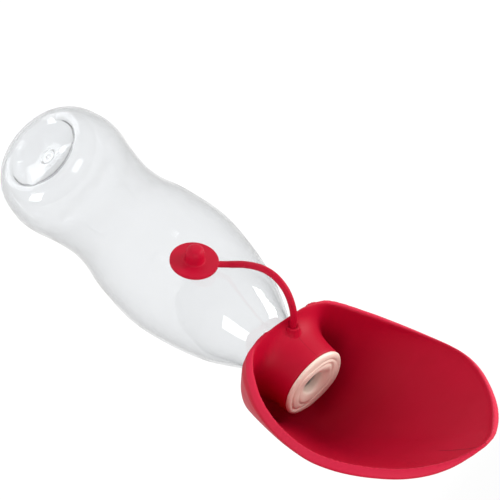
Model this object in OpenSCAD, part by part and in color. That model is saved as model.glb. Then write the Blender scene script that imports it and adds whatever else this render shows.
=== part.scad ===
// Travel water bottle with a scoop-shaped silicone bowl on its neck. Millimetres, upright, base on z = 0.
// The bowl opens towards -Y; the stopper hangs in front of the shoulder on its strap.

/* [Bottle] */
// Width of the two lobes of the bottle
bottle_d = 71; // [69:0.5:72]
// Width of the waist between the lobes
waist_d = 58.6; // [54:0.5:62]
// Height of the body up to the root of the neck
body_h = 178.5; // [168:0.5:188]
// Wall of the blow-moulded bottle
bottle_wall = 1.2; // [0.9:0.1:1.6]
// From the edge of the round recess in the base to the outer edge of the foot
foot_w = 2.7; // [2.4:0.1:5]
// How far the middle of the base is pushed in
punt_h = 6; // [3:0.5:8]

/* [Neck] */
// Width of the neck under its thread
neck_d = 25; // [24:0.1:25.4]
// Bore of the neck
neck_bore_d = 21.7; // [18:0.1:22]
// Height of the neck up to the mouth of the bottle
neck_h = 21.7; // [21:0.1:23]
// Width of the support ring below the thread
support_d = 32.6; // [30:0.2:33]
// Width of the plain band that centres the spout cap
pilot_d = 27.4; // [27:0.1:27.4]

/* [Spout cap] */
// Width of the cap where the collar grips it
cap_d = 31; // [30.6:0.1:31]
// Width of the room for the thread inside the cap
thread_room_d = 27.8; // [27.8:0.1:28.2]
// Width of the hole that the water comes out of
spout_d = 12.4; // [11.6:0.2:13]
// How far the crest of the spout's lip stands above the mouth
lip_rise = 8.2; // [7.8:0.1:8.4]
// Clearance of the cap's foot on the pilot band, all round
pilot_gap = 0.05; // [0.04:0.01:0.1]

/* [Bowl] */
// Length of the bowl from its lower edge to its tip
bowl_len = 115.6; // [110:0.5:120]
// Width of the bowl
bowl_w = 100; // [92:1:106]
// How far the tip reaches forward of the bottle's axis
tip_out = 48; // [44:1:52]
// How far the back of the bowl reaches behind the bottle's axis
back_out = 27; // [26:0.5:29]
// Wall of the bowl
bowl_wall = 2.2; // [1.8:0.1:2.6]
// Thickness of the bowl's rim
rim_t = 4.8; // [4:0.1:5.2]
// Width of the collar at its upper edge
collar_d = 36.4; // [36:0.1:37]
// How far the upper edge of the collar stands above the mouth
collar_rise = 4.8; // [4.4:0.1:4.8]
// How far the foot of the collar flares
flare_w = 6.4; // [5.6:0.2:6.8]

/* [Stopper and strap] */
// Thickness of the strap
strap_d = 3.4; // [3:0.1:3.6]
// Width of the stopper's flange
flange_d = 23.4; // [22:0.2:23.8]
// Thickness of the stopper's flange
flange_t = 1.9; // [1.6:0.1:2.2]
// Width of the stopper's plug
plug_d = 9.4; // [8.6:0.2:9.6]
// Length of the stopper's plug
plug_h = 8; // [6:0.5:8.5]
// Width of the boss that holds the strap
boss_d = 7.4; // [7:0.1:7.8]
// How far the middle of the stopper hangs below the boss
stopper_drop = 52.1; // [51.1:0.2:53.1]

/* [Hidden] */
$fn = 72;
lobe_r = bottle_d / 2;
waist_r = waist_d / 2;
neck_r = neck_d / 2;
bore_r = neck_bore_d / 2;
body_k = body_h / 178.5;
foot_r = lobe_r - 12.4;
recess_r = foot_r - foot_w;
cap_r = cap_d / 2;
mouth_z = body_h + neck_h;
seat_gap = 0.02;
washer_t = 1.5;
washer_z = mouth_z + seat_gap;
ceiling_z = washer_z + washer_t + seat_gap;
foot_z = body_h + 3.5;
pilot_top = foot_z + 2.2;
grip_gap = 0.05;
rib_r = cap_r + 1.1;
rib_z = mouth_z - 4.2;
rib_h = 2;
spout_r = spout_d / 2;
crest_r = 10.8;
lip_z = mouth_z + lip_rise;
collar_r = collar_d / 2;
collar_z = mouth_z + collar_rise;
skirt_z = body_h + 2.5;
bowl_z = body_h + 3.4;
rim_fwd = 48;
centre_z = bowl_z + 0.27 * bowl_len;
boss_z = body_h + 8.8;
boss_end = cap_r + 10;
strap_r = strap_d / 2;
head_r = strap_r + 1.2;
head_in = cap_r + 0.3;
head_t = 1.8;
hang = stopper_drop / 52.1;

// Catmull-Rom curve through a list of points, at parameter u counted in points.
function at(p, i) = p[max(0, min(len(p) - 1, i))];
function blend(a, b, c, d, t) =
    0.5 * (2 * b + (c - a) * t + (2 * a - 5 * b + 4 * c - d) * t * t
    + (3 * b - a - 3 * c + d) * t * t * t);
function curve(p, u) =
    let (i = min(floor(u), len(p) - 2))
    blend(i == 0 ? 2 * p[0] - p[1] : p[i - 1], p[i], p[i + 1],
          i == len(p) - 2 ? 2 * p[i + 1] - p[i] : p[i + 2], u - i);
function unit(v) = v / norm(v);

// The bottle's outline, as radius and height from the foot to the root of the neck.
// Each lobe and the waist follow their own width, and the heights follow the body's.
outline = [
    [foot_r, 0], [foot_r + 3, 0.5], [lobe_r - 6.1, 3], [lobe_r - 3.2, 7.2],
    [lobe_r - 1.2, 13.5], [lobe_r, 22.5], [lobe_r - 0.8, 30], [lobe_r - 2.4, 36.5],
    [waist_r + 1.9, 45], [waist_r + 0.5, 54], [waist_r, 62], [waist_r + 1, 72],
    [waist_r + 3.7, 84], [lobe_r - 0.8, 97], [lobe_r, 109], [lobe_r - 0.9, 120.5],
    [lobe_r - 3.2, 133], [lobe_r - 6.1, 144.5], [lobe_r - 9.6, 155],
    [lobe_r - 13.9, 164], [lobe_r - 18.2, 172], [neck_r + 1.4, 176.5], [neck_r + 0.3, 178.5]];
body_line = [for (p = outline) [p[0], p[1] * body_k]];
body_steps = 2 * (len(body_line) - 1);
body_out = [for (i = [0:body_steps]) curve(body_line, i / 2)];

module bottle_profile() {
    base_out = [[recess_r + 1.9, 0], [recess_r + 0.5, 0.8], [recess_r - 0.2, 2.2],
                [recess_r * 0.72, punt_h - 2.0], [recess_r * 0.38, punt_h - 0.5], [0, punt_h]];
    inner = [for (i = [body_steps - 2:-1:4])
             [body_out[i][0] - bottle_wall, body_out[i][1] + (i < 9 ? 0.2 * (9 - i) : 0)]];
    base_in = [[recess_r + 3, bottle_wall + 0.5], [recess_r, bottle_wall + 2.2],
               [recess_r * 0.72, punt_h - 2.0 + bottle_wall],
               [recess_r * 0.38, punt_h - 0.5 + bottle_wall], [0, punt_h + bottle_wall]];
    neck = [[neck_r, body_h + 0.4], [support_d / 2 - 0.5, body_h + 0.5],
            [support_d / 2, body_h + 1.0], [support_d / 2, body_h + 1.6],
            [support_d / 2 - 0.5, body_h + 2.0], [neck_r, body_h + 2.4],
            [neck_r, foot_z + 0.2], [pilot_d / 2, foot_z + 0.9], [pilot_d / 2, pilot_top - 0.6],
            [neck_r, pilot_top], [neck_r, mouth_z - 0.4], [neck_r - 0.3, mouth_z],
            [bore_r, mouth_z], [bore_r, body_h - 0.5]];
    polygon(concat([for (i = [len(base_out) - 1:-1:0]) base_out[i]], body_out, neck, inner, base_in));
}

module bottle() color([0.86, 0.9, 0.93, 0.45]) rotate_extrude() bottle_profile();

module sealing_washer() color([0.82, 0.82, 0.8]) translate([0, 0, washer_z])
    rotate_extrude() polygon([[bore_r - 1.6, 0], [neck_r + 1.1, 0],
                              [neck_r + 1.1, washer_t], [bore_r - 1.6, washer_t]]);

module cap_profile() polygon([
    [pilot_d / 2 + pilot_gap, foot_z], [cap_r - 0.4, foot_z], [cap_r, foot_z + 0.4],
    [cap_r, rib_z - 0.6], [rib_r, rib_z], [rib_r, rib_z + rib_h - 0.6],
    [cap_r, rib_z + rib_h], [cap_r, collar_z + 0.1], [collar_r - 0.5, collar_z + 0.1],
    [collar_r - 0.4, collar_z + 0.7], [collar_r - 1.1, collar_z + 1.6],
    [collar_r - 2.5, lip_z - 0.95], [crest_r + 1.6, lip_z - 0.35], [crest_r, lip_z],
    [crest_r - 1, lip_z - 0.15], [crest_r - 2, lip_z - 0.7], [spout_r + 1.5, lip_z - 2],
    [spout_r + 0.4, lip_z - 3.4], [spout_r, lip_z - 4.6], [spout_r, ceiling_z],
    [thread_room_d / 2, ceiling_z], [thread_room_d / 2, pilot_top + 0.6],
    [pilot_d / 2 + pilot_gap, pilot_top]]);

module spout_cap() color([0.91, 0.87, 0.8]) rotate_extrude() cap_profile();

// Outer edge of the bowl's rim from the lower middle round one side to the tip:
// width as a share of half the bowl's width, reach forward, height as a share of the length.
rim_table = [
    [0, 30.4, 0.009], [0.2, 28.8, 0.003], [0.4, 24.8, 0], [0.55, 21.8, 0.016],
    [0.668, 20.2, 0.064], [0.756, 19.2, 0.122], [0.846, 18.7, 0.196], [0.924, 19.2, 0.294],
    [0.978, 21.2, 0.408], [1, 24.8, 0.537], [0.968, 28.2, 0.632], [0.892, 30.8, 0.715],
    [0.776, 33, 0.794], [0.636, 35.2, 0.866], [0.48, 37.9, 0.922], [0.31, 41.4, 0.963],
    [0.15, 45.8, 0.989], [0, 48, 1]];
// By height, how much of the section is a round shell, the rest being a flared wall.
roundness = [[0, 1], [0.07, 0.82], [0.2, 0.45], [0.35, 0.19], [0.5, 0.08], [0.9, 0.08], [1, 0.2]];
// By height, how sharply the round shell turns from its floor to its wall.
turn = [[0, 3.6], [0.1, 3], [0.3, 2.2]];
bottom_blend = 0.3;
// Shares of the way from the deepest point to the rim.
rows = [0.07, 0.16, 0.27, 0.39, 0.51, 0.63, 0.74, 0.83, 0.9, 0.95, 0.985, 1];
rim_sub = 3;
half_n = (len(rim_table) - 1) * rim_sub;
around = 2 * half_n;
function rim_at(k) =
    let (m = k <= half_n ? k : around - k, s = k <= half_n ? 1 : -1,
         q = curve(rim_table, m / rim_sub))
    [s * q[0] * bowl_w / 2, -q[1] * tip_out / rim_fwd, bowl_z + q[2] * bowl_len];
function flared(s) = (norm([s, bottom_blend]) - bottom_blend) / (norm([1, bottom_blend]) - bottom_blend);
function rounded(s, n) = 1 - pow(1 - pow(s, n), 1 / n);
// The section from the deepest point to one point of the rim, as distance out and depth.
function section(k, s) =
    let (r = rim_at(k), l = norm([r[0], r[2] - centre_z]), h = (r[2] - bowl_z) / bowl_len,
         v = lookup(h, roundness), g = (1 - v) * flared(s) + v * rounded(s, lookup(h, turn)))
    [l * s, back_out - (back_out - r[1]) * g];
function side(k, s, t) =
    let (e = 0.004, a = section(k, max(s - e, 0)), b = section(k, min(s + e, 1)),
         d = unit(b - a), p = section(k, s),
         q = p + t * (s == 0 ? [0, -1] : [d[1], -d[0]]),
         r = rim_at(k), dir = unit([r[0], r[2] - centre_z]))
    [q[0] * dir[0], q[1], centre_z + q[0] * dir[1]];
function rim_here(k) = rim_t * (1 - 0.55 * exp(-pow(rim_at(k)[0] / 14, 2))
    * (rim_at(k)[2] < centre_z ? 1 : 0));
function wall_at(k, s) = bowl_wall + (rim_here(k) - bowl_wall) * pow(max(0, s - 0.72) / 0.28, 2);

module dish() {
    m = len(rows);
    outer = [for (s = rows) for (k = [0:around - 1]) side(k, s, 0)];
    inner = [for (s = rows) for (k = [0:around - 1]) side(k, s, wall_at(k, s))];
    tips = [[0, back_out, centre_z], [0, back_out - bowl_wall, centre_z]];
    c = 2 * m * around;
    ring = [for (i = [0:m - 2]) for (k = [0:around - 1])
            let (a = i * around + k, b = i * around + (k + 1) % around)
            for (f = [[a, a + around, b + around], [a, b + around, b]]) f];
    faces = concat(
        [for (f = ring) f],
        [for (f = ring) [f[0] + m * around, f[2] + m * around, f[1] + m * around]],
        [for (k = [0:around - 1]) [c, k, (k + 1) % around]],
        [for (k = [0:around - 1]) [c + 1, m * around + (k + 1) % around, m * around + k]],
        [for (k = [0:around - 1]) let (a = (m - 1) * around + k, b = (m - 1) * around + (k + 1) % around)
         for (f = [[a, a + m * around, b + m * around], [a, b + m * around, b]]) f]);
    polyhedron(points = concat(outer, inner, tips), faces = faces);
}

module collar_profile() polygon([
    [cap_r - 1, skirt_z], [collar_r + 0.4, skirt_z], [collar_r + 1, skirt_z + 0.6],
    [collar_r + 0.84 * flare_w, skirt_z + 4.3], [collar_r + flare_w, skirt_z + 5.2],
    [collar_r + 0.81 * flare_w, skirt_z + 6.4], [collar_r + 0.61 * flare_w, skirt_z + 7.8],
    [collar_r + 0.42 * flare_w, skirt_z + 9.6], [collar_r + 0.27 * flare_w, skirt_z + 12],
    [collar_r + 0.14 * flare_w, skirt_z + 15], [collar_r + 0.06 * flare_w, skirt_z + 18.5],
    [collar_r, collar_z - 2], [collar_r, collar_z - 0.6], [collar_r - 0.6, collar_z],
    [cap_r - 1, collar_z]]);

module bowl() color([0.72, 0.03, 0.12]) difference() {
    union() {
        dish();
        rotate_extrude() collar_profile();
        translate([0, -cap_r - 1, boss_z]) rotate([90, 0, 0]) cylinder(h = boss_end - cap_r - 1, d = boss_d);
    }
    translate([0, 0, skirt_z - 1]) cylinder(h = collar_z - skirt_z + 2, r = cap_r + grip_gap);
    translate([0, 0, rib_z - 0.6]) cylinder(h = rib_h + 0.7, r = rib_r + grip_gap);
    translate([0, 2 - cap_r, boss_z]) rotate([90, 0, 0])
        cylinder(h = boss_end - cap_r + 3, r = strap_r + grip_gap);
    translate([0, 2 - cap_r, boss_z]) rotate([90, 0, 0])
        cylinder(h = head_in + head_t - cap_r + 2, r = head_r + grip_gap);
}

// Middle line of the strap at rest, from the boss to the edge of the stopper's flange,
// measured from where the boss's axis meets the cap.
strap_shape = [
    [0, -7, 0], [0.2, -14.8, -0.2], [0.5, -22.1, -2.9], [0.9, -27.9, -7.4],
    [1.2, -30.7, -13.8], [1.6, -30.6, -20], [2, -28.5, -25.9], [2.7, -24.7, -32.7],
    [4.2, -20, -39.7], [8.5, -19.3, -44]];
strap_path = [for (p = strap_shape) [0, -cap_r, boss_z] + hang * p];
// Where one length of the strap ends and the next begins, counted in points of the line.
cuts = [0.62, 1.38, 2.48, 3.52, 5.0, 6.0, 7.52, 8.46, 9];
// Where the strap starts to leave the boss's axis.
root_u = 0.35;
function heading(u) = unit(curve(strap_path, min(u + 0.02, 9)) - curve(strap_path, max(u - 0.02, 0)));
// The strap flattens towards the flange that it runs into.
function flatten(u) = u < 7.9 ? 1 : 1 - 0.45 * (u - 7.9) / 1.1;
function tube_ring(u, n) =
    let (t = heading(u), a = unit(cross(t, [1, 0, 0])), b = cross(t, a))
    [for (i = [0:n - 1]) curve(strap_path, u)
     + strap_r * (cos(360 * i / n) * flatten(u) * a + sin(360 * i / n) * b)];

module tube(u0, u1, steps) {
    n = 20;
    pts = [for (j = [0:steps]) each tube_ring(u0 + (u1 - u0) * j / steps, n)];
    polyhedron(points = pts, faces = concat(
        [[for (i = [0:n - 1]) i]],
        [[for (i = [n - 1:-1:0]) steps * n + i]],
        [for (j = [0:steps - 1]) for (i = [0:n - 1])
         [j * n + i, (j + 1) * n + i, (j + 1) * n + (i + 1) % n, j * n + (i + 1) % n]]));
}

module strap_anchor() color([0.75, 0.03, 0.12]) union() {
    translate([0, -head_in, boss_z]) rotate([90, 0, 0]) cylinder(h = head_t, r = head_r);
    translate([0, -head_in - head_t / 2, boss_z]) rotate([90, 0, 0])
        cylinder(h = -curve(strap_path, root_u)[1] - head_in - head_t / 2, r = strap_r);
    tube(root_u - 0.1, cuts[0], 2);
}
module strap_bend_1() color([0.75, 0.03, 0.12]) tube(cuts[0], cuts[1], 3);
module strap_lower() color([0.75, 0.03, 0.12]) tube(cuts[1], cuts[2], 5);
module strap_bend_2() color([0.75, 0.03, 0.12]) tube(cuts[2], cuts[3], 5);
module strap_middle() color([0.75, 0.03, 0.12]) tube(cuts[3], cuts[4], 6);
module strap_bend_3() color([0.75, 0.03, 0.12]) tube(cuts[4], cuts[5], 4);
module strap_upper() color([0.75, 0.03, 0.12]) tube(cuts[5], cuts[6], 6);
module strap_bend_4() color([0.75, 0.03, 0.12]) tube(cuts[6], cuts[7], 5);

stopper_at = [0, -cap_r, boss_z] + hang * [15.7, -20.5, -52.1];
module stopper() color([0.75, 0.03, 0.12]) union() {
    translate(stopper_at) rotate([-90, 0, 0]) rotate_extrude() polygon([
        [0, flange_t], [flange_d / 2 - 0.5, flange_t], [flange_d / 2, flange_t - 0.5],
        [flange_d / 2, 0.5], [flange_d / 2 - 0.5, 0], [plug_d / 2 + 0.6, 0],
        [plug_d / 2, -0.6], [plug_d / 2 - 0.3, -plug_h + 2.2],
        [plug_d / 2 - 1.1, -plug_h + 0.8], [plug_d / 2 - 2.6, -plug_h], [0, -plug_h]]);
    tube(cuts[7], cuts[8], 4);
}

bottle();
spout_cap();
sealing_washer();
bowl();
strap_anchor();
strap_bend_1();
strap_lower();
strap_bend_2();
strap_middle();
strap_bend_3();
strap_upper();
strap_bend_4();
stopper();
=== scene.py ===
import math
import bmesh
import bpy
import numpy as np
from mathutils import Matrix, Vector
from mathutils.kdtree import KDTree


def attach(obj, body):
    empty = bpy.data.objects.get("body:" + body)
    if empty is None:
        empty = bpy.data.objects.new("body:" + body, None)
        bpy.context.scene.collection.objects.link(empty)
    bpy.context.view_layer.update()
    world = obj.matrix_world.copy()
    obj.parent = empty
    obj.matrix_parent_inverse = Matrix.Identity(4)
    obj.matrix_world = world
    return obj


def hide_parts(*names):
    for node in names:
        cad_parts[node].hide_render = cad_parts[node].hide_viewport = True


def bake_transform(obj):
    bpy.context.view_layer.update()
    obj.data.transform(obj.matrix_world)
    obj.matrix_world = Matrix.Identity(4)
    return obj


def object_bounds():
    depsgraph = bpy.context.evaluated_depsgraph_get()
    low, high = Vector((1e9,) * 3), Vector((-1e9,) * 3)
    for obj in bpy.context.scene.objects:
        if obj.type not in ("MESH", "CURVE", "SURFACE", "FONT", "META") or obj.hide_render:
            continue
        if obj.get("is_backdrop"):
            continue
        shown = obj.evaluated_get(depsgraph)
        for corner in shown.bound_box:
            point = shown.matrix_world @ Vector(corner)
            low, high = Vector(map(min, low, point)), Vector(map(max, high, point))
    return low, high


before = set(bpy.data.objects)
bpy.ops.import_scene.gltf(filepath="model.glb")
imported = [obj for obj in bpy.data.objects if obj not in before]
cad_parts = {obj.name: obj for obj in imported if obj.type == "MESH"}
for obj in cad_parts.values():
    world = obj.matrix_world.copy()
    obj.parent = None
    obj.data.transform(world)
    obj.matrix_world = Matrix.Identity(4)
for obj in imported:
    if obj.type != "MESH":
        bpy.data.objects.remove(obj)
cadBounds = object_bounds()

# Travel water bottle with a scoop-shaped silicone bowl on its neck. Measures in the
# dictionaries are in millimetres, apart from those of the lamps and the camera's clip
# distances, and meshes are scaled to metres when they are made.
# z runs up the bottle, the bowl opens towards -y and the stopper hangs towards +x.
mm = 0.001


def srgb(red, green, blue):  # a colour read off a screen, as shaders take it
    values = np.array([red, green, blue], float) / 255
    linear = np.where(values <= 0.04045, values / 12.92, ((values + 0.055) / 1.055) ** 2.4)
    return (*linear.tolist(), 1.0)


def plug(tree, socket, value):  # a number, colour or vector is set; a wire is linked
    if isinstance(value, Wire):
        tree.links.new(value.socket, socket)
    else:
        socket.default_value = value


class Wire:  # a shader value; arithmetic on it adds Math nodes
    def __init__(self, tree, socket):
        self.tree, self.socket = tree, socket

    def calc(self, operation, *values):
        node = self.tree.nodes.new("ShaderNodeMath")
        node.operation = operation
        for socket, value in zip(node.inputs, values):
            plug(self.tree, socket, value)
        return Wire(self.tree, node.outputs[0])

    def __add__(self, other): return self.calc("ADD", self, other)
    def __radd__(self, other): return self.calc("ADD", other, self)
    def __sub__(self, other): return self.calc("SUBTRACT", self, other)
    def __rsub__(self, other): return self.calc("SUBTRACT", other, self)
    def __mul__(self, other): return self.calc("MULTIPLY", self, other)
    def least(self, other): return self.calc("MINIMUM", self, other)
    def most(self, other): return self.calc("MAXIMUM", self, other)


class Finish:  # one material and the nodes in it
    def __init__(self, name):
        self.material = bpy.data.materials.new(name)
        self.material.use_nodes = True
        self.tree = self.material.node_tree
        self.tree.nodes.clear()

    # Adds a node: settings first, a ramp's stops among them, then its sockets by name.
    def node(self, kind, settings=None, inputs=None, output=0):
        made = self.tree.nodes.new(kind)
        for name, value in (settings or {}).items():
            if name == "stops":
                ramp = made.color_ramp.elements
                while len(ramp) > 1:
                    ramp.remove(ramp[-1])
                ramp[0].position, ramp[0].color = value[0]
                for position, colour in value[1:]:
                    ramp.new(position).color = colour
            else:
                setattr(made, name, value)
        for name, value in (inputs or {}).items():
            plug(self.tree, made.inputs[name], value)
        return Wire(self.tree, made.outputs[output]) if made.outputs else None

    def place(self):  # object coordinates, and each of their parts
        spot = self.node("ShaderNodeTexCoord", output=3)
        split = self.node("ShaderNodeSeparateXYZ", inputs={0: spot}).socket.node
        return spot, *[Wire(self.tree, split.outputs[i]) for i in range(3)]

    def noise(self, spot, scale, detail=2.0, rough=0.5):
        return self.node("ShaderNodeTexNoise", {}, {"Vector": spot, "Scale": scale,
                                                   "Detail": detail, "Roughness": rough})

    # 1 where a value lies between two limits, falling off over a soft edge on each side.
    def between(self, value, low, high, soft):
        rise = self.node("ShaderNodeMapRange", {"interpolation_type": "SMOOTHSTEP"},
                         {0: value, 1: low - soft, 2: low, 3: 0.0, 4: 1.0})
        fall = self.node("ShaderNodeMapRange", {"interpolation_type": "SMOOTHSTEP"},
                         {0: value, 1: high, 2: high + soft, 3: 1.0, 4: 0.0})
        return rise * fall

    def mix(self, factor, first, second):  # colours; sockets 6 and 7 are the colour inputs
        return self.node("ShaderNodeMix", {"data_type": "RGBA"}, {0: factor, 6: first, 7: second},
                         output=2)

    def bump(self, height, strength, distance):
        return self.node("ShaderNodeBump", {}, {"Height": height, "Strength": strength,
                                               "Distance": distance})

    def surface(self, shader):
        self.node("ShaderNodeOutputMaterial", {}, {"Surface": shader})
        return self.material


# A curve through points: Catmull-Rom, each span a cubic through its two ends with the
# slope at an end half the step between its neighbours.
def curveAt(points, u):
    points = np.asarray(points, float)
    u = np.asarray(u, float)
    ends = np.vstack([2 * points[0] - points[1], points, 2 * points[-1] - points[-2]])
    i = np.clip(np.floor(u).astype(int), 0, len(points) - 2)
    t = (u - i)[..., None]
    a, b, c, d = ends[i], ends[i + 1], ends[i + 2], ends[i + 3]
    return 0.5 * (2 * b + (c - a) * t + (2 * a - 5 * b + 4 * c - d) * t ** 2
                  + (3 * b - a - 3 * c + d) * t ** 3)


# A polyline with its corners rounded: each corner becomes a quadratic curve between two
# points at its radius from the corner, whose control point is the corner.
def rounded(corners, radii, steps=5):
    line = [np.array(corners[0], float)]
    for before, corner, after, radius in zip(corners, corners[1:], corners[2:], radii):
        before, corner, after = (np.array(p, float) for p in (before, corner, after))
        a = corner + (before - corner) * min(0.49, radius / np.linalg.norm(before - corner))
        b = corner + (after - corner) * min(0.49, radius / np.linalg.norm(after - corner))
        t = np.linspace(0, 1, steps + 1)[:, None] if radius else np.array([[0.5]])
        line += list((1 - t) ** 2 * a + 2 * t * (1 - t) * corner + t ** 2 * b)
    return np.array(line + [np.array(corners[-1], float)])


# Puts points, in millimetres, and faces into a new smooth-shaded object in metres. As many
# of the last faces as flat says are shaded flat.
def piece(name, points, faces, material, body=None, slot=None, replaced=(), flat=0):
    mesh = bpy.data.meshes.new(name)
    mesh.from_pydata((np.asarray(points) * mm).tolist(), [], faces)
    mesh.validate()
    count = len(mesh.polygons)
    mesh.polygons.foreach_set("use_smooth", np.arange(count) < count - flat)
    mesh.update()
    made = bpy.data.objects.new(name, mesh)
    bpy.context.scene.collection.objects.link(made)
    made.data.materials.append(material)
    if body:
        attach(made, body)
    if replaced:
        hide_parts(*replaced)
    return made


# Quads of a grid of rows by columns, numbered row by row. Each row closes into a ring, and
# the last row may also join the first.
def gridFaces(rows, columns, closeRows=False):
    i = np.arange(rows if closeRows else rows - 1)[:, None]
    j = np.arange(columns)[None, :]
    nextRow, nextColumn = (i + 1) % rows, (j + 1) % columns
    quads = np.stack([i * columns + j, i * columns + nextColumn,
                      nextRow * columns + nextColumn, nextRow * columns + j], -1)
    return quads.reshape(-1, 4).tolist()


# Closes a grid whose rows are rings: a point is added at each end, with a fan of triangles
# from it to the first or the last ring.
def fanned(points, faces, columns, first, last):
    count = len(points)
    start = count - columns
    j = np.arange(columns)
    after = (j + 1) % columns
    near = np.stack([np.full(columns, count), after, j], -1).tolist()
    far = np.stack([np.full(columns, count + 1), start + j, start + after], -1).tolist()
    return np.vstack([points, first, last]), faces + near + far


# A profile of radius and height turned about the z axis: each row of the grid is a circle.
# A profile that starts and ends on the axis gets one point there and a fan of triangles.
def turned(profile, columns):
    profile = np.asarray(profile, float)
    onAxis = profile[0, 0] < 1e-6
    ring = profile[1:-1] if onAxis else profile
    angle = np.arange(columns) * 2 * math.pi / columns
    points = np.stack([ring[:, :1] * np.cos(angle), ring[:, :1] * np.sin(angle),
                       np.broadcast_to(ring[:, 1:], (len(ring), columns))], -1).reshape(-1, 3)
    faces = gridFaces(len(ring), columns, closeRows=not onAxis)
    if onAxis:
        return fanned(points, faces, columns, [0, 0, profile[0, 1]], [0, 0, profile[-1, 1]])
    return points, faces


# A section carried along a path and closed at both ends by a fan round its middle.
def swept(rings):
    rows, columns = rings.shape[:2]
    return fanned(rings.reshape(-1, 3), gridFaces(rows, columns), columns,
                  rings[0].mean(0), rings[-1].mean(0))


def outward(made):  # all faces of a closed mesh turned to point out
    mesh = bmesh.new()
    mesh.from_mesh(made.data)
    bmesh.ops.recalc_face_normals(mesh, faces=mesh.faces)
    mesh.to_mesh(made.data)
    mesh.free()
    return made


# A screw thread: a ridge whose foot and crest follow a helix, sunk a little into the wall.
# Its height grows from nearly nothing over the first part of a turn and fades over the last.
def thread(foot, crest, low, turns, pitch, footWide, crestWide, sink, steps=96):
    fadeTurns, leastHeight = 0.16, 0.02
    along = np.linspace(0, 1, int(steps * turns) + 1)
    angle = along * turns * 2 * math.pi
    fade = np.clip(np.minimum(along, 1 - along) * turns / fadeTurns, leastHeight, 1)
    fade = fade * fade * (3 - 2 * fade)
    shape = np.array([[0, -footWide / 2], [0.75, -crestWide * 0.62], [1, -crestWide * 0.3],
                      [1, crestWide * 0.3], [0.75, crestWide * 0.62], [0, footWide / 2]])
    reach = shape[None, :, 0] * fade[:, None] * (crest - foot)
    radius = foot + np.where(shape[None, :, 0] == 0, sink * np.sign(foot - crest), reach)
    height = low + along[:, None] * turns * pitch + shape[None, :, 1]
    return np.stack([radius * np.cos(angle)[:, None], radius * np.sin(angle)[:, None],
                     height], -1)


# The edge colour is a painted highlight, laid on the rim's end.
silicone = dict(deep=srgb(164, 1, 32), light=srgb(180, 4, 44), edge=srgb(224, 50, 84),
                # The seam colour is painted shade along the mould's parting lines.
                shadedSeam=srgb(70, 2, 12), roughness=0.48, gloss=0.17, seamFade=0.12, seamEnd=2)


# Satin moulded silicone: a deep red with slow cloudy changes, a fine grain, faint flow
# marks and, where lines are given, the mould's parting lines in the plane x = 0 with painted
# shade along them, and a painted highlight on the rim's end.
def redSilicone(name, lines=()):
    fade, end = silicone["seamFade"] * mm, silicone["seamEnd"] * mm
    finish = Finish(name)
    spot, x, y, z = finish.place()
    cloud = finish.noise(spot, 38, 3)
    flow = finish.node("ShaderNodeTexNoise", {}, {"Scale": 60, "Detail": 2, "Vector": finish.node(
        "ShaderNodeMapping", {}, {"Vector": spot, "Scale": (1, 1, 5)})})
    grain = finish.noise(spot, 5200, 2)
    pits = finish.noise(spot, 1400, 2)
    colour = finish.mix(cloud * 0.7 + flow * 0.3, silicone["deep"], silicone["light"])
    if lines:  # painted highlight: the rim's end is painted paler, as if lit
        edge = finish.node("ShaderNodeAttribute", {"attribute_name": "rimEnd"}, output=2)
        colour = finish.mix(edge * (0.3 + cloud * 0.14), colour, silicone["edge"])
    height = grain * 0.5 + pits * 0.5
    # Painted shade: each parting line darkens the colour towards the seam colour by its dark share;
    # depth sinks it as a groove, or raises it where negative.
    for line in lines:
        shadedSeam = finish.between(x, -line["half"] * mm, line["half"] * mm, fade)
        shadedSeam = shadedSeam * finish.between(y, *[v * mm for v in line["y"]], end)
        shadedSeam = shadedSeam * finish.between(z, *[v * mm for v in line["z"]], end)
        colour = finish.mix(shadedSeam * line["dark"], colour, silicone["shadedSeam"])
        height = height - shadedSeam * line["depth"]
    rough = silicone["roughness"] - 0.04 + cloud * 0.1 + grain * 0.04
    return finish.surface(finish.node("ShaderNodeBsdfPrincipled", {}, {
        "Base Color": colour, "Roughness": rough, "IOR": 1.43,
        "Specular IOR Level": silicone["gloss"], "Normal": finish.bump(height, 0.22, 0.00012)}))


# The edge colour is the grey of painted shade, laid on the glass towards its silhouette.
clearTone = dict(dim=srgb(241, 242, 243), bright=srgb(244, 245, 246), edge=srgb(40, 42, 46),
                 edgeShadeShare=0.9, shade=(0.93, 0.94, 0.95, 1), scuffs=(-1, 20), scuffFade=15)


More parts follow.
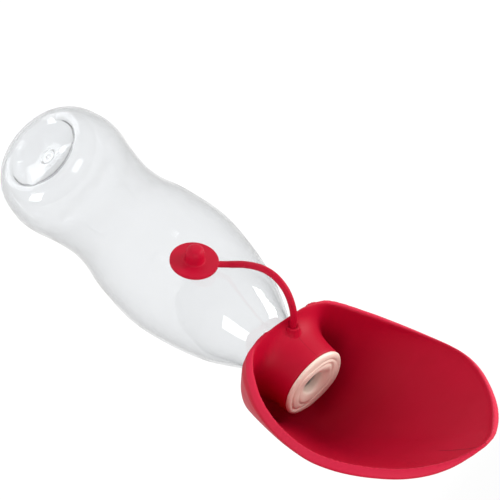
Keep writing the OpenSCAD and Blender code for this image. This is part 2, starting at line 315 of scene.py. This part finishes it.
# Clear blown plastic: glass to the eye, with slow ripples left by blowing, faint upright
# draw marks and fine scuffs near the foot. Lamps shine through it onto the floor.
def clearPlastic():
    finish = Finish("clearPlastic")
    tone = clearTone
    spot, _, _, z = finish.place()
    ripple = finish.noise(spot, 55, 2)
    draw = finish.node("ShaderNodeTexNoise", {}, {"Scale": 90, "Detail": 2, "Vector": finish.node(
        "ShaderNodeMapping", {}, {"Vector": spot, "Scale": (1, 1, 0.08)})})
    scuff = finish.node("ShaderNodeValToRGB", {"stops": [(0.6, (0, 0, 0, 1)), (0.75, (1, 1, 1, 1))]},
                        {0: finish.noise(spot, 700, 4, 0.7)})
    low = finish.between(z, *[v * mm for v in tone["scuffs"]], tone["scuffFade"] * mm)
    rough = 0.015 + scuff * low * 0.06 + ripple * 0.012
    # Painted shade: seen at a grazing angle the glass's colour greys towards its edges, standing in
    # for darker surroundings seen in and through the wall there.
    facing = finish.node("ShaderNodeLayerWeight", {}, {"Blend": 0.5}, output=1)
    tint = finish.mix(ripple, tone["dim"], tone["bright"])
    glass = finish.node("ShaderNodeBsdfPrincipled", {}, {
        "Base Color": finish.mix(facing * facing * facing * tone["edgeShadeShare"], tint, tone["edge"]),
        "Roughness": rough, "IOR": 1.5, "Transmission Weight": 1.0,
        "Normal": finish.bump(ripple * 0.7 + draw * 0.3, 0.25, 0.0006)})
    through = finish.node("ShaderNodeBsdfTransparent", {}, {"Color": tone["shade"]})
    lamps = finish.node("ShaderNodeLightPath", output=1)
    return finish.surface(finish.node("ShaderNodeMixShader", {}, {0: lamps, 1: glass, 2: through}))


paleTone = dict(dim=srgb(226, 208, 192), bright=srgb(238, 223, 208), speck=srgb(190, 165, 140),
                speckShare=0.12)


# Pale moulded plastic of the cap and its lip, a little warmer in the hollows of the cloud.
def palePlastic():
    finish = Finish("palePlastic")
    spot = finish.place()[0]
    cloud = finish.noise(spot, 70, 3)
    grain = finish.noise(spot, 3600, 2)
    speck = finish.node("ShaderNodeValToRGB", {"stops": [(0.66, (0, 0, 0, 1)), (0.74, (1, 1, 1, 1))]},
                        {0: finish.noise(spot, 900, 3)})
    colour = finish.mix(cloud, paleTone["dim"], paleTone["bright"])
    colour = finish.mix(speck * paleTone["speckShare"], colour, paleTone["speck"])
    return finish.surface(finish.node("ShaderNodeBsdfPrincipled", {}, {
        "Base Color": colour, "Roughness": 0.34 + cloud * 0.12, "IOR": 1.45,
        "Normal": finish.bump(grain * 0.6 + cloud * 0.4, 0.15, 0.00015)}))


whiteTone = dict(dim=srgb(222, 222, 216), bright=srgb(236, 236, 232), pressed=srgb(200, 200, 194),
                 pressedShare=0.4, ring=(11.2, 12.2), ringFade=0.3)


# White sealing silicone with a fine matt grain and a faint ring where it is pressed.
def whiteSilicone():
    finish = Finish("whiteSilicone")
    tone = whiteTone
    spot, x, y, _ = finish.place()
    grain = finish.noise(spot, 4200, 2)
    cloud = finish.noise(spot, 120, 3)
    radius = finish.node("ShaderNodeVectorMath", {"operation": "LENGTH"}, {0: finish.node(
        "ShaderNodeCombineXYZ", {}, {0: x, 1: y})}, output=1)
    pressed = finish.between(radius, *[v * mm for v in tone["ring"]], tone["ringFade"] * mm)
    colour = finish.mix(cloud, tone["dim"], tone["bright"])
    return finish.surface(finish.node("ShaderNodeBsdfPrincipled", {}, {
        "Base Color": finish.mix(pressed * tone["pressedShare"], colour, tone["pressed"]),
        "Roughness": 0.5 + grain * 0.1,
        "Normal": finish.bump(grain - pressed * 0.8, 0.2, 0.0001)}))


# One line runs up the bowl's tip and the other up the front of its collar. Along each, dark is the
# share of painted shade.
parting = [dict(half=0.1, y=(-47, -15), z=(279, 300), dark=0.8, depth=1.5),
           dict(half=0.08, y=(-26, -17), z=(191, 204.4), dark=0.35, depth=-0.8)]
bowlRed = redSilicone("redSilicone", parting)
strapRed = redSilicone("strapSilicone")
clear = clearPlastic()
pale = palePlastic()
white = whiteSilicone()
print("finishes made")


bottle = dict(lobe=35.5, waist=29.3, body=178.5, wall=1.1, foot=23.1, recess=20.4, punt=6.0,
              neck=12.5, bore=10.85, mouth=200.2, support=16.3, pilot=13.7, pilotLow=182.0,
              pilotTop=184.2, gate=4.4, columns=192)
neckRidge = dict(foot=bottle["neck"], crest=13.6, low=187.2, turns=2.6, pitch=4.0,
                 footWide=2.2, crestWide=1.0, sink=0.3)


# The wall is one closed profile: the body's outer line is a curve through the measured
# radii, the inner line is the same curve moved inwards along its own normal by the wall,
# and the neck and the pushed-in base are polylines with rounded corners.
def makeBottle(b):
    lobe, waist, neck, body = b["lobe"], b["waist"], b["neck"], b["body"]
    step, floorZ = 8, 1.9  # points between two marks, and the inside's lowest height
    marks = [[b["foot"], 0], [b["foot"] + 3, 0.5], [lobe - 6.1, 3], [lobe - 3.2, 7.2],
             [lobe - 1.2, 13.5], [lobe, 22.5], [lobe - 0.8, 30], [lobe - 2.4, 36.5],
             [waist + 1.9, 45], [waist + 0.5, 54], [waist, 62], [waist + 1, 72],
             [waist + 3.7, 84], [lobe - 0.8, 97], [lobe, 109], [lobe - 0.9, 120.5],
             [lobe - 3.2, 133], [lobe - 6.1, 144.5], [lobe - 9.6, 155],
             [lobe - 13.9, 164], [lobe - 18.2, 172], [neck + 1.4, body - 2], [neck + 0.3, body]]
    outer = curveAt(marks, np.linspace(0, len(marks) - 1, step * (len(marks) - 1) + 1))
    slope = np.gradient(outer, axis=0)
    slope /= np.linalg.norm(slope, axis=1)[:, None]
    inner = outer + b["wall"] * np.stack([-slope[:, 1], slope[:, 0]], -1)
    inner = inner[(inner[:, 0] > b["bore"]) & (inner[:, 1] > floorZ) & (inner[:, 1] < body - 1.3)]
    punt, recess, gate = b["punt"], b["recess"], b["gate"]
    base = rounded([[0, punt - 0.9], [1.0, punt - 0.9], [1.4, punt - 0.1], [gate - 0.5, punt - 0.15],
                    [gate, punt - 0.7], [gate + 0.5, punt - 0.35], [recess * 0.38, punt - 0.7],
                    [recess * 0.72, punt - 2.1], [recess - 0.5, 2.5], [recess + 0.3, 0.9],
                    [recess + 1.7, 0.02], [b["foot"], 0]],
                   [0.2, 0.3, 0.3, 0.4, 0.3, 1.2, 3, 0.9, 0.5, 0.6])[:-1]
    top = rounded([[neck + 0.1, body + 0.4], [b["support"], body + 0.6], [b["support"], body + 1.8],
                   [neck, body + 2.2], [neck, b["pilotLow"] + 0.2], [b["pilot"], b["pilotLow"] + 0.6],
                   [b["pilot"], b["pilotTop"] - 0.3], [neck, b["pilotTop"]], [neck, b["mouth"]],
                   [b["bore"], b["mouth"]], [b["bore"], body - 0.5]],
                  [0.4, 0.4, 0.4, 0.3, 0.3, 0.3, 0.4, 0.4, 0.4], 3)
    under = rounded([[recess + 3.4, 1.5], [recess + 1.6, 1.3], [recess - 0.4, 3.7],
                     [recess * 0.72, punt - 1.1], [recess * 0.38, punt + 0.35], [0, punt + 0.4]],
                    [0.6, 0.9, 2, 2], 4)
    profile = np.vstack([base, outer, top, inner[::-1], under])
    return turned(profile, b["columns"])


outward(piece("bottleShell", *makeBottle(bottle), clear, "bottle", "clear_plastic", ("bottle",)))
outward(piece("neckThread", *swept(thread(**neckRidge)), clear, "bottle", "clear_plastic"))
print("bottle made")


cap = dict(radius=15.5, room=13.9, pilot=13.75, foot=182.0, pilotTop=184.2, ribZ=196.0, rib=16.6,
           collar=18.2, collarZ=205.0, lip=208.4, crest=10.8, spout=6.2, ceiling=201.74,
           columns=224, tilt=0.9, sunk=0.64, mouthFrom=13, mouthOver=5)
capRidge = dict(foot=cap["room"], crest=12.9, low=189.8, turns=2.2, pitch=4.0,
                footWide=1.9, crestWide=0.8, sink=0.2)
lipFolds = [dict(place=14.3, sway=0.9, turn=1.1, width=0.6, deep=1.0),
            dict(place=11.2, sway=1.0, turn=-0.6, width=0.7, deep=0.9)]
# Waves round the lip, each with how many there are in a turn, where it starts and its size.
lipHeight = [(2, 0.7, 0.3), (3, -0.4, 0.22), (5, 0.0, 0.12)]
lipRadius = [(3, 0.9, 0.018), (4, -1.3, 0.012)]
mouthRadius = [(2, -0.9, 0.07), (5, 0.0, 0.035)]


def waved(angle, waves, mean=0.0):
    return sum((size * np.sin(count * angle + start) for count, start, size in waves), mean)


# One closed profile turned about the axis. The lip is rolled and uneven: above the collar
# its height changes round the mouth by slow sine waves, a tilt lowers the side towards +x,
# and two folds wander in radius. The lip and its mouth are a little out of round.
def makeCap(c):
    line = rounded([[c["pilot"], c["foot"]], [c["radius"], c["foot"]], [c["radius"], c["ribZ"] - 0.6],
                    [c["rib"], c["ribZ"]], [c["rib"], c["ribZ"] + 1.4], [c["radius"], c["ribZ"] + 2],
                    [c["radius"], c["collarZ"] + 0.1], [c["collar"] - 0.3, c["collarZ"] + 0.1],
                    [c["collar"] - 0.05, c["collarZ"] + 1.3], [c["collar"] - 1.0, c["collarZ"] + 2.7],
                    [c["collar"] - 3.0, c["lip"] - 0.35], [c["collar"] - 4.4, c["lip"] - 0.2],
                    [c["crest"] + 1.3, c["lip"] + 0.1], [c["crest"] - 0.6, c["lip"]],
                    [c["crest"] - 2.4, c["lip"] - 0.9], [c["spout"] + 0.9, c["lip"] - 1.9],
                    [c["spout"], c["lip"] - 3.4], [c["spout"], c["ceiling"]],
                    [c["room"], c["ceiling"]], [c["room"], c["pilotTop"] + 0.6],
                    [c["pilot"], c["pilotTop"]]],
                   [0.5, 0.2, 0.2, 0.2, 0.2, 0.05, 0.3, 0.9, 1.2, 1.2, 0.8, 0.8, 1.2, 1.2, 1.5, 1.6,
                    0.3, 0.3, 0.2], 5)
    points, faces = turned(line, c["columns"])
    angle = np.arctan2(points[:, 1], points[:, 0])
    radius = np.hypot(points[:, 0], points[:, 1])
    wave = waved(angle, lipHeight)
    rise = np.clip((points[:, 2] - c["collarZ"] - 0.2) / (c["lip"] - c["collarZ"]), 0, 1)
    for fold in lipFolds:
        turn = fold["turn"]
        gap = (radius - fold["place"] - fold["sway"] * np.sin(2 * angle + turn)
               - 0.3 * np.sin(5 * angle - turn))
        wave = wave - (np.exp(-(gap / fold["width"]) ** 2) * fold["deep"]
                       * (0.6 + 0.4 * np.sin(angle + 2 * turn)))
    # Nothing rises past the profile's crest, where the closed stopper's flange lies.
    points[:, 2] += rise ** 1.3 * (wave - c["sunk"] - c["tilt"] * (0.5 + 0.5 * np.cos(angle)))
    inner = np.clip((c["mouthFrom"] - radius) / c["mouthOver"], 0, 1) * rise
    squeeze = 1 + rise * waved(angle, lipRadius) - inner * waved(angle, mouthRadius, 0.05)
    points[:, :2] *= squeeze[:, None]
    return points, faces


outward(piece("spoutCap", *makeCap(cap), pale, "bowl_unit", "pale_plastic", ("spout_cap",)))
outward(piece("capThread", *swept(thread(**capRidge)), pale, "bowl_unit", "pale_plastic"))
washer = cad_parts["sealing_washer"].data
washer.materials.clear()
washer.materials.append(white)
print("cap made")


bowl = dict(length=115.6, width=100.0, back=27.0, wall=2.2, rim=4.6, low=181.9, middle=213.1,
            edge=1.3, inside=0.8, slant=0.36, thinLow=0.55, reachLow=14, thinHigh=0.65, reachHigh=17,
            bore=15.55, ribZ=196.0, rib=16.65, collar=18.2, collarZ=205.0, skirt=181.0, flare=6.4,
            columns=160, voxel=0.74)
crease = dict(depth=0.7, wide=6.0, low=262, over=18, end=6)
fillet = dict(reach=9.0, passes=110, clear=0.8, below=2, back=23, low=183)
# Where the painted highlight on the rim's end lies, and how it fades.
rimEnd = dict(front=9, clear=19, full=1.3, fade=0.7)
bowlCut = dict(low=178, high=207, columns=96)
# Outer edge of the rim from the lower middle round one side to the tip: share of half the
# width, reach forward in millimetres, share of the length.
rimMarks = np.array([
    [0, 30.4, 0.009], [0.2, 28.8, 0.003], [0.4, 24.8, 0], [0.55, 21.8, 0.016],
    [0.668, 20.2, 0.064], [0.756, 19.2, 0.122], [0.846, 18.7, 0.196], [0.924, 19.2, 0.294],
    [0.978, 21.2, 0.408], [1, 24.8, 0.537], [0.968, 28.2, 0.632], [0.892, 30.8, 0.715],
    [0.776, 33, 0.794], [0.636, 35.2, 0.866], [0.48, 37.9, 0.922], [0.31, 41.4, 0.963],
    [0.15, 45.8, 0.989], [0, 48, 1]])
# How rounded a section is, and the power of its rounding, by height as a share of the length.
roundShare = np.array([[0, 1], [0.07, 0.82], [0.2, 0.45], [0.35, 0.19], [0.5, 0.08], [0.9, 0.08],
                       [1, 0.2]])
turnPower = np.array([[0, 3.6], [0.1, 3], [0.3, 2.2]])


def softened(values):  # a closed row of values, each now the weighted mean of the 25 round it
    weights = np.exp(-(np.arange(-12, 13) / 5.0) ** 2)
    return sum(w * np.roll(values, k - 12) for k, w in enumerate(weights)) / weights.sum()


# The dish: for every point of the rim, a section runs from the deepest point to the rim.
# Its depth is a mix of a flared curve, a hyperbola with a soft bottom, and of a rounded one,
# a superellipse. The inner face is the outer one moved by the wall's thickness along the
# section's normal, and the rim's two edges are quarter rounds between the faces.
def makeDish(b, perMark=8, rows=54):
    step, soft = 0.004, 0.3
    last = len(rimMarks) - 1
    rim = curveAt(rimMarks, np.linspace(0, last, last * perMark + 1))
    rim = np.vstack([rim, rim[-2:0:-1] * [-1, 1, 1]])
    rim = rim * [b["width"] / 2, -1, b["length"]] + [0, 0, b["low"]]
    way = rim[:, [0, 2]] - [0, b["middle"]]
    length = np.linalg.norm(way, axis=1)
    way = way / length[:, None]
    high = (rim[:, 2] - b["low"]) / b["length"]
    share = softened(np.interp(high, *roundShare.T))
    power = softened(np.interp(high, *turnPower.T))

    def depth(s):
        flat = (np.hypot(s, soft) - soft) / (np.hypot(1, soft) - soft)
        full = 1 - (1 - np.minimum(s, 1) ** power) ** (1 / power)
        return b["back"] - (b["back"] - rim[:, 1]) * ((1 - share) * flat + share * full)

    one = np.ones(len(rim))
    run = np.hypot(length * step, depth(one) - depth(one * (1 - step))) / step

    # The points of one line round the dish: s is the share of the way to the rim, t the depth
    # under the outer face, and more a step further along the section, as a share of it.
    def at(s, t, more=0.0):
        before, after = np.maximum(s - step, 0), np.minimum(s + step, 1)
        out, down = length * (after - before), depth(after) - depth(before)
        size = np.hypot(out, down)
        past = more * run * one
        away = length * s + (t * down + past * out) / size
        return np.stack([way[:, 0] * away, depth(s) + (past * down - t * out) / size,
                         b["middle"] + way[:, 1] * away], -1)

    lower = rim[:, 2] < b["middle"]
    # The rim is thinner near the plane x = 0, by a share that falls off as a bell curve.
    most = np.where(lower, b["thinLow"], b["thinHigh"])
    thin = most * np.exp(-(rim[:, 0] / np.where(lower, b["reachLow"], b["reachHigh"])) ** 2)
    thick = b["rim"] * (1 - thin)
    steps = one * (np.linspace(0.02, 1, rows) ** 0.85)[:, None]
    edge, inside = b["edge"] / run, b["inside"] / run
    lines = [at(s * (1 - edge), 0 * one) for s in steps]
    turn = np.linspace(0, math.pi / 2, 6)
    lines += [at(1 - edge * (1 - math.sin(a)), b["edge"] * (1 - math.cos(a)) * one)
              for a in turn[1:]]
    lean = b["slant"] * (1 - thin) * thick / run  # the inner edge stands ahead of the outer one
    for f in (0.25, 0.5, 0.75, 1):
        part = (b["edge"] + (thick - b["edge"] - b["inside"]) * f) / thick
        lines.append(at(one, part * thick, lean * (part - b["edge"] / thick)))
    ahead = 1 + lean * (1 - (b["edge"] + b["inside"]) / thick)
    lines += [at(one, thick - b["inside"] * (1 - math.sin(a)), ahead - 1 - inside * (1 - math.cos(a)))
              for a in turn[1:]]
    # Towards the rim the inner face leaves the wall's thickness and leans ahead with the rim.
    thickFrom, thickOver, leanFrom, leanOver = 0.72, 0.28, 0.8, 0.2
    for s in steps[::-1]:
        wall = b["wall"] + (thick - b["wall"]) * (np.maximum(0, s - thickFrom) / thickOver) ** 2
        lines.append(at(s * (1 - inside), wall,
                        (ahead - 1) * np.maximum(0, s - leanFrom) / leanOver))
    # Points spread over the rim's end, which tell later which part of the skin is the end.
    ends = np.stack([at(one, thick * f, lean * (f - b["edge"] / thick))
                     for f in np.linspace(0.2, 0.9, 9)])
    ends = np.concatenate([ends * (1 - f) + np.roll(ends, 1, 1) * f for f in np.arange(6) / 6])
    points, faces = fanned(np.concatenate(lines), gridFaces(len(lines), len(rim)), len(rim),
                           [0, b["back"], b["middle"]], [0, b["back"] - b["wall"], b["middle"]])
    # The pouring crease: points near the plane x = 0 towards the tip move back by a depth
    # that falls off as an exponential of their distance from the plane.
    near = np.exp(-np.abs(points[:, 0]) / crease["wide"])
    up = np.clip((points[:, 2] - crease["low"]) / crease["over"], 0, 1)
    end = np.clip((b["low"] + b["length"] - points[:, 2]) / crease["end"], 0, 1)
    points[:, 1] += crease["depth"] * near * up * end
    return points, faces, ends.reshape(-1, 3)


# The collar is a round wall that flares at its low end.
def makeCollar(b):
    r, f, z = b["collar"], b["flare"], b["skirt"]
    line = rounded([[b["bore"] - 1, z], [r + 0.4, z], [r + 1, z + 0.6], [r + 0.84 * f, z + 4.3],
                    [r + f, z + 5.2], [r + 0.81 * f, z + 6.4], [r + 0.61 * f, z + 7.8],
                    [r + 0.42 * f, z + 9.6], [r + 0.27 * f, z + 12], [r + 0.14 * f, z + 15],
                    [r + 0.06 * f, z + 18.5], [r, b["collarZ"]], [b["bore"] - 1, b["collarZ"]]],
                   [0.3, 0.8, 0.6, 0.6, 0.6, 0.8, 1, 1.2, 1.5, 1.5, 0.7], 4)
    return turned(line, b["columns"])


def applied(made, kind, **settings):  # adds one modifier and applies it to the mesh
    modifier = made.modifiers.new(kind, kind)
    for name, value in settings.items():
        setattr(modifier, name, value)
    depsgraph = bpy.context.evaluated_depsgraph_get()
    mesh = bpy.data.meshes.new_from_object(made.evaluated_get(depsgraph))
    made.modifiers.clear()
    old, made.data = made.data, mesh
    bpy.data.meshes.remove(old)
    return made


def meshPoints(made, attribute="co"):  # a vector of every point of a mesh, as one array
    values = np.empty(len(made.data.vertices) * 3)
    made.data.vertices.foreach_get(attribute, values)
    return values.reshape(-1, 3)


def distances(points, targets):  # from each point to the nearest target
    tree = KDTree(len(targets))
    for n, target in enumerate(targets):
        tree.insert(target, n)
    tree.balance()
    return np.array([tree.find(point)[2] for point in points])


# A fillet along the line where two surfaces meet in a hollow corner. Points whose
# neighbours' mean lies well outside the surface mark the corner; near them, with a weight
# that falls with distance, every point moves again and again to its neighbours' mean.
def filleted(made, reach, passes, inRegion):
    hollowFrom, moved = 0.035, 0.6
    mesh = made.data
    points, normals = meshPoints(made) / mm, meshPoints(made, "normal")
    count = len(points)
    edges = np.empty(len(mesh.edges) * 2, int)
    mesh.edges.foreach_get("vertices", edges)
    a, b = edges.reshape(-1, 2).T
    links = np.bincount(edges, minlength=count)[:, None]

    def mean(p):
        total = [np.bincount(a, p[b, k], count) + np.bincount(b, p[a, k], count) for k in range(3)]
        return np.stack(total, -1) / links

    inside = inRegion(points)
    soft = points.copy()
    for _ in range(2):
        soft += 0.5 * (mean(soft) - soft)
    hollow = ((mean(soft) - soft) * normals).sum(1)
    some = np.flatnonzero(inside)
    away = distances(points[some], points[inside & (hollow > hollowFrom)])
    weight = np.zeros(count)
    weight[some] = np.clip(1 - away / reach, 0, 1)
    weight = (weight ** 2 * (3 - 2 * weight))[:, None] * moved
    for _ in range(passes):
        points += weight * (mean(points) - points)
    mesh.vertices.foreach_set("co", (points * mm).ravel())
    mesh.update()


# How much of each point belongs to the rim's end, 1 on it and falling to 0 within a millimetre: the
# share of painted highlight there.
def markRimHighlight(made, ends):
    points = meshPoints(made) / mm
    outside = np.hypot(points[:, 0], points[:, 1]) > rimEnd["clear"]
    some = np.flatnonzero((points[:, 1] < rimEnd["front"]) & outside)
    share = np.zeros(len(points))
    away = distances(points[some], ends)
    share[some] = np.clip(rimEnd["full"] - away / rimEnd["fade"], 0, 1)
    made.data.attributes.new("rimEnd", "FLOAT", "POINT").data.foreach_set("value", share)


# Dish and collar are joined and made one skin by a voxel remesh, their corner is filleted,
# and then the bore for the cap and its rib's groove are cut.
def makeBowl(b):
    dish, collar = makeDish(b), makeCollar(b)
    points = np.vstack([dish[0], collar[0]])
    faces = dish[1] + [[i + len(dish[0]) for i in face] for face in collar[1]]
    made = outward(piece("drinkingBowl", points, faces, bowlRed))
    applied(made, "REMESH", mode="VOXEL", voxel_size=b["voxel"] * mm, use_smooth_shade=True)
    applied(made, "SMOOTH", factor=0.5, iterations=3)
    filleted(made, fillet["reach"], fillet["passes"], lambda p: (
        (np.hypot(p[:, 0], p[:, 1]) > b["collar"] - fillet["clear"])
        & (p[:, 2] < b["collarZ"] - fillet["below"])
        & (p[:, 1] < fillet["back"]) & (p[:, 2] > fillet["low"])))
    groove, low, high = b["ribZ"], bowlCut["low"], bowlCut["high"]
    line = [[0, low], [b["bore"], low], [b["bore"], groove - 0.6], [b["rib"], groove - 0.05],
            [b["rib"], groove + 1.45], [b["bore"], groove + 2.05], [b["bore"], high], [0, high]]
    cutter = outward(piece("cutter", *turned(line, bowlCut["columns"]), bowlRed))
    applied(made, "BOOLEAN", object=cutter, operation="DIFFERENCE", solver="EXACT")
    bpy.data.objects.remove(cutter)
    made.data.polygons.foreach_set("use_smooth", np.ones(len(made.data.polygons), bool))
    markRimHighlight(made, dish[2])
    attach(made, "bowl_unit")
    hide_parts("bowl")
    return made


drinkingBowl = makeBowl(bowl)
print("bowl made, faces", len(drinkingBowl.data.polygons))


strap = dict(radius=1.7, sides=28, rows=41, boss=3.4, bossFrom=17.0, bossEnd=24.6, bossZ=187.3,
             bossColumns=64, split=[0.0, 1.93, 4.26, 6.76, 9.0], flatFrom=7.9, flatOver=1.1,
             thinner=0.45, wider=0.18)
# Middle line of the strap from the boss to the edge of the stopper's flange.
strapShape = np.array([
    [0, -7, 0], [0.2, -14.8, -0.2], [0.5, -22.1, -2.9], [0.9, -27.9, -7.4],
    [1.2, -30.7, -13.8], [1.6, -30.6, -20], [2, -28.5, -25.9], [2.7, -24.7, -32.7],
    [4.2, -20, -39.7], [8.5, -19.3, -44]]) + [0, -cap["radius"], strap["bossZ"]]
# Each bend: the two bodies, where along the line it starts and ends, the nodes it stands for.
bends = [("bowl_unit", "strap_lower", 0.62, 1.38, ("strap_anchor", "strap_bend_1")),
         ("strap_lower", "strap_middle", 2.48, 3.52, ("strap_lower", "strap_bend_2")),
         ("strap_middle", "strap_upper", 5.0, 6.0, ("strap_middle", "strap_bend_3")),
         ("strap_upper", "stopper", 7.52, 8.46, ("strap_upper", "strap_bend_4"))]


# A round section carried along the line. It stands square to the line and is flattened
# and widened a little towards the flange that it runs into.
def strapRings(s, u):
    step, last = 0.02, len(strapShape) - 1
    middle = curveAt(strapShape, u)
    ahead = (curveAt(strapShape, np.minimum(u + step, last))
             - curveAt(strapShape, np.maximum(u - step, 0)))
    ahead /= np.linalg.norm(ahead, axis=1)[:, None]
    side = np.cross(ahead, [1.0, 0, 0])
    side /= np.linalg.norm(side, axis=1)[:, None]
    across = np.cross(ahead, side)
    angle = np.arange(s["sides"]) * 2 * math.pi / s["sides"]
    near = np.clip((u - s["flatFrom"]) / s["flatOver"], 0, 1)
    thin = s["radius"] * (1 - s["thinner"] * near)[:, None, None]
    wide = s["radius"] * (1 + s["wider"] * near)[:, None, None]
    return (middle[:, None] + thin * np.cos(angle)[None, :, None] * side[:, None]
            + wide * np.sin(angle)[None, :, None] * across[:, None])


for number, (first, second, start, end, nodes) in enumerate(bends):
    u = np.linspace(*strap["split"][number:number + 2], strap["rows"])
    length = outward(piece(f"strapLength{number + 1}", *swept(strapRings(strap, u)), strapRed,
                           None, "red_silicone", nodes, flat=2 * strap["sides"]))
    tuple(curveAt(strapShape, start) * mm)
    tuple(curveAt(strapShape, end) * mm)
    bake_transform(length)


stopper = dict(at=(15.7, -36.0, 135.2), flange=11.7, thick=1.9, plug=4.7, long=8.0, columns=120)


# The stopper's profile is turned about an axis that points to -y: a thin flange with
# rounded edges, a shallow dished ring round the plug's root, and a plug with a round nose.
def makeStopper(s):
    line = rounded([[0, s["thick"]], [s["flange"], s["thick"]], [s["flange"], 0],
                    [s["plug"] + 2.5, 0.12], [s["plug"] + 0.35, 0], [s["plug"], -0.9],
                    [s["plug"] - 0.25, -s["long"] + 2.6], [s["plug"] - 1.6, -s["long"] + 0.25],
                    [0, -s["long"]]],
                   [0.55, 0.55, 0.8, 0.5, 0.5, 1.2, 1.8], 5)
    points, faces = turned(line, s["columns"])
    return points[:, [0, 2, 1]] * [1, 1, -1] + s["at"], faces


outward(piece("stopperDisc", *makeStopper(stopper), strapRed, "stopper", "red_silicone",
              ("stopper",)))


# The boss on the collar is turned about the strap's axis: a short stub with a rolled edge
# and a shallow well that the strap comes out of.
def makeBoss(s):
    line = rounded([[0, -s["bossFrom"]], [s["boss"] + 3.2, -s["bossFrom"]],
                    [s["boss"] + 0.35, -s["bossEnd"] + 2.0], [s["boss"], -s["bossEnd"]],
                    [s["boss"] - 1.0, -s["bossEnd"]], [s["radius"] + 0.2, -s["bossEnd"] + 0.5],
                    [0, -s["bossEnd"] + 0.6]],
                   [0.4, 2.2, 0.5, 0.4, 0.3], 4)
    points, faces = turned(line, s["bossColumns"])
    return points[:, [0, 2, 1]] * [1, 1, -1] + [0, 0, s["bossZ"]], faces


outward(piece("strapBoss", *makeBoss(strap), bowlRed, "bowl_unit", "red_silicone"))
print("strap and stopper made")


studio = dict(floorX=(-4000, 2500), floorY=(-2000, 6000), floorZ=-0.3, floorShade=(0.9, 0.9, 0.9, 1),
              white=(1, 1, 1, 1), whiteShare=0.86, skyLow=0.38, skyRise=0.45, skySlope=1.1)


# White floor that keeps the shadow: most of what a camera, glossy or transmitted ray sees is
# plain white light, and the rest is the lit floor.
def floorFinish():
    finish = Finish("floorWhite")
    path = finish.node("ShaderNodeLightPath").socket.node
    camera, glossy, passed = [Wire(finish.tree, path.outputs[name]) for name in
                              ("Is Camera Ray", "Is Glossy Ray", "Is Transmission Ray")]
    lit = finish.node("ShaderNodeBsdfDiffuse", {}, {"Color": studio["floorShade"]})
    glow = finish.node("ShaderNodeEmission", {}, {"Color": studio["white"], "Strength": 1.0})
    factor = camera.most(glossy).most(passed) * studio["whiteShare"]
    return finish.surface(finish.node("ShaderNodeMixShader", {}, {0: factor, 1: lit, 2: glow}))


left, right = studio["floorX"]
front, back = studio["floorY"]
corners = [[left, front], [right, front], [right, back], [left, back]]
piece("floor", [[*corner, studio["floorZ"]] for corner in corners], [[0, 1, 2, 3]],
               floorFinish())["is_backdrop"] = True

# Light from all round, weakest from the horizon and below, which draws soft lines on the
# clear bottle; the camera itself sees plain white.
world = bpy.data.worlds.new("studio")
bpy.context.scene.world = world
world.use_nodes = True
tree = world.node_tree
direction = Wire(tree, tree.nodes.new("ShaderNodeTexCoord").outputs["Generated"])
height = tree.nodes.new("ShaderNodeSeparateXYZ")
plug(tree, height.inputs[0], direction)
direct = Wire(tree, tree.nodes.new("ShaderNodeLightPath").outputs["Is Camera Ray"])
slope = Wire(tree, height.outputs[2]) * studio["skySlope"]
around = slope.most(0.0).least(studio["skyRise"]) + studio["skyLow"]
plug(tree, tree.nodes["Background"].inputs["Color"], studio["white"])
plug(tree, tree.nodes["Background"].inputs["Strength"], direct * (1.0 - around) + around)


# Soft square lamps; their places, targets and sizes are in metres, their power in watts.
lamps = [dict(name="keyLamp", place=(-0.82, -0.5, 0.62), target=(0, -0.02, 0.22), size=0.5, power=9),
         dict(name="fillLamp", place=(0.9, -0.45, 0.95), target=(0, -0.02, 0.22), size=0.6, power=5),
         dict(name="topLamp", place=(0.1, 0.1, 1.15), target=(0, 0, 0.15), size=0.7, power=3.5),
         dict(name="backLamp", place=(-0.5, 0.8, 0.6), target=(0, 0, 0.15), size=0.6, power=3)]


def makeLamp(name, place, target, size, power):
    data = bpy.data.lights.new(name, "AREA")
    data.size = size
    data.energy = power
    made = bpy.data.objects.new(name, data)
    bpy.context.scene.collection.objects.link(made)
    made.location = place
    made.rotation_euler = (Vector(target) - Vector(place)).to_track_quat("-Z", "Y").to_euler()


for lamp in lamps:
    makeLamp(**lamp)

# The camera's place and the directions of its view, fitted to the photograph; lens and sensor
# are in millimetres as well, and the clip distances in metres.
view = dict(sensor=36, lens=96.48, clip=(0.05, 20), place=(340.83, -486.72, 433.01),
            right=(-0.71142, -0.11285, 0.69364), down=(0.43904, 0.69933, 0.56407),
            ahead=(-0.54874, 0.70583, -0.44798))
camera = bpy.data.objects.new("camera", bpy.data.cameras.new("camera"))
bpy.context.scene.collection.objects.link(camera)
camera.data.sensor_width = view["sensor"]
camera.data.lens = view["lens"]
camera.data.clip_start, camera.data.clip_end = view["clip"]
pose = np.eye(4)
pose[:3, :3] = np.stack([view["right"], -np.array(view["down"]), -np.array(view["ahead"])], 1)
pose[:3, 3] = np.array(view["place"]) * mm
camera.matrix_world = Matrix(pose.tolist())
bpy.context.scene.camera = camera
bpy.context.scene.view_settings.view_transform = "Standard"
print("lamps and camera placed")

for entry in (cadBounds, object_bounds()):
    print("box", [[round(v, 4) for v in corner] for corner in entry])
print("scene ready")
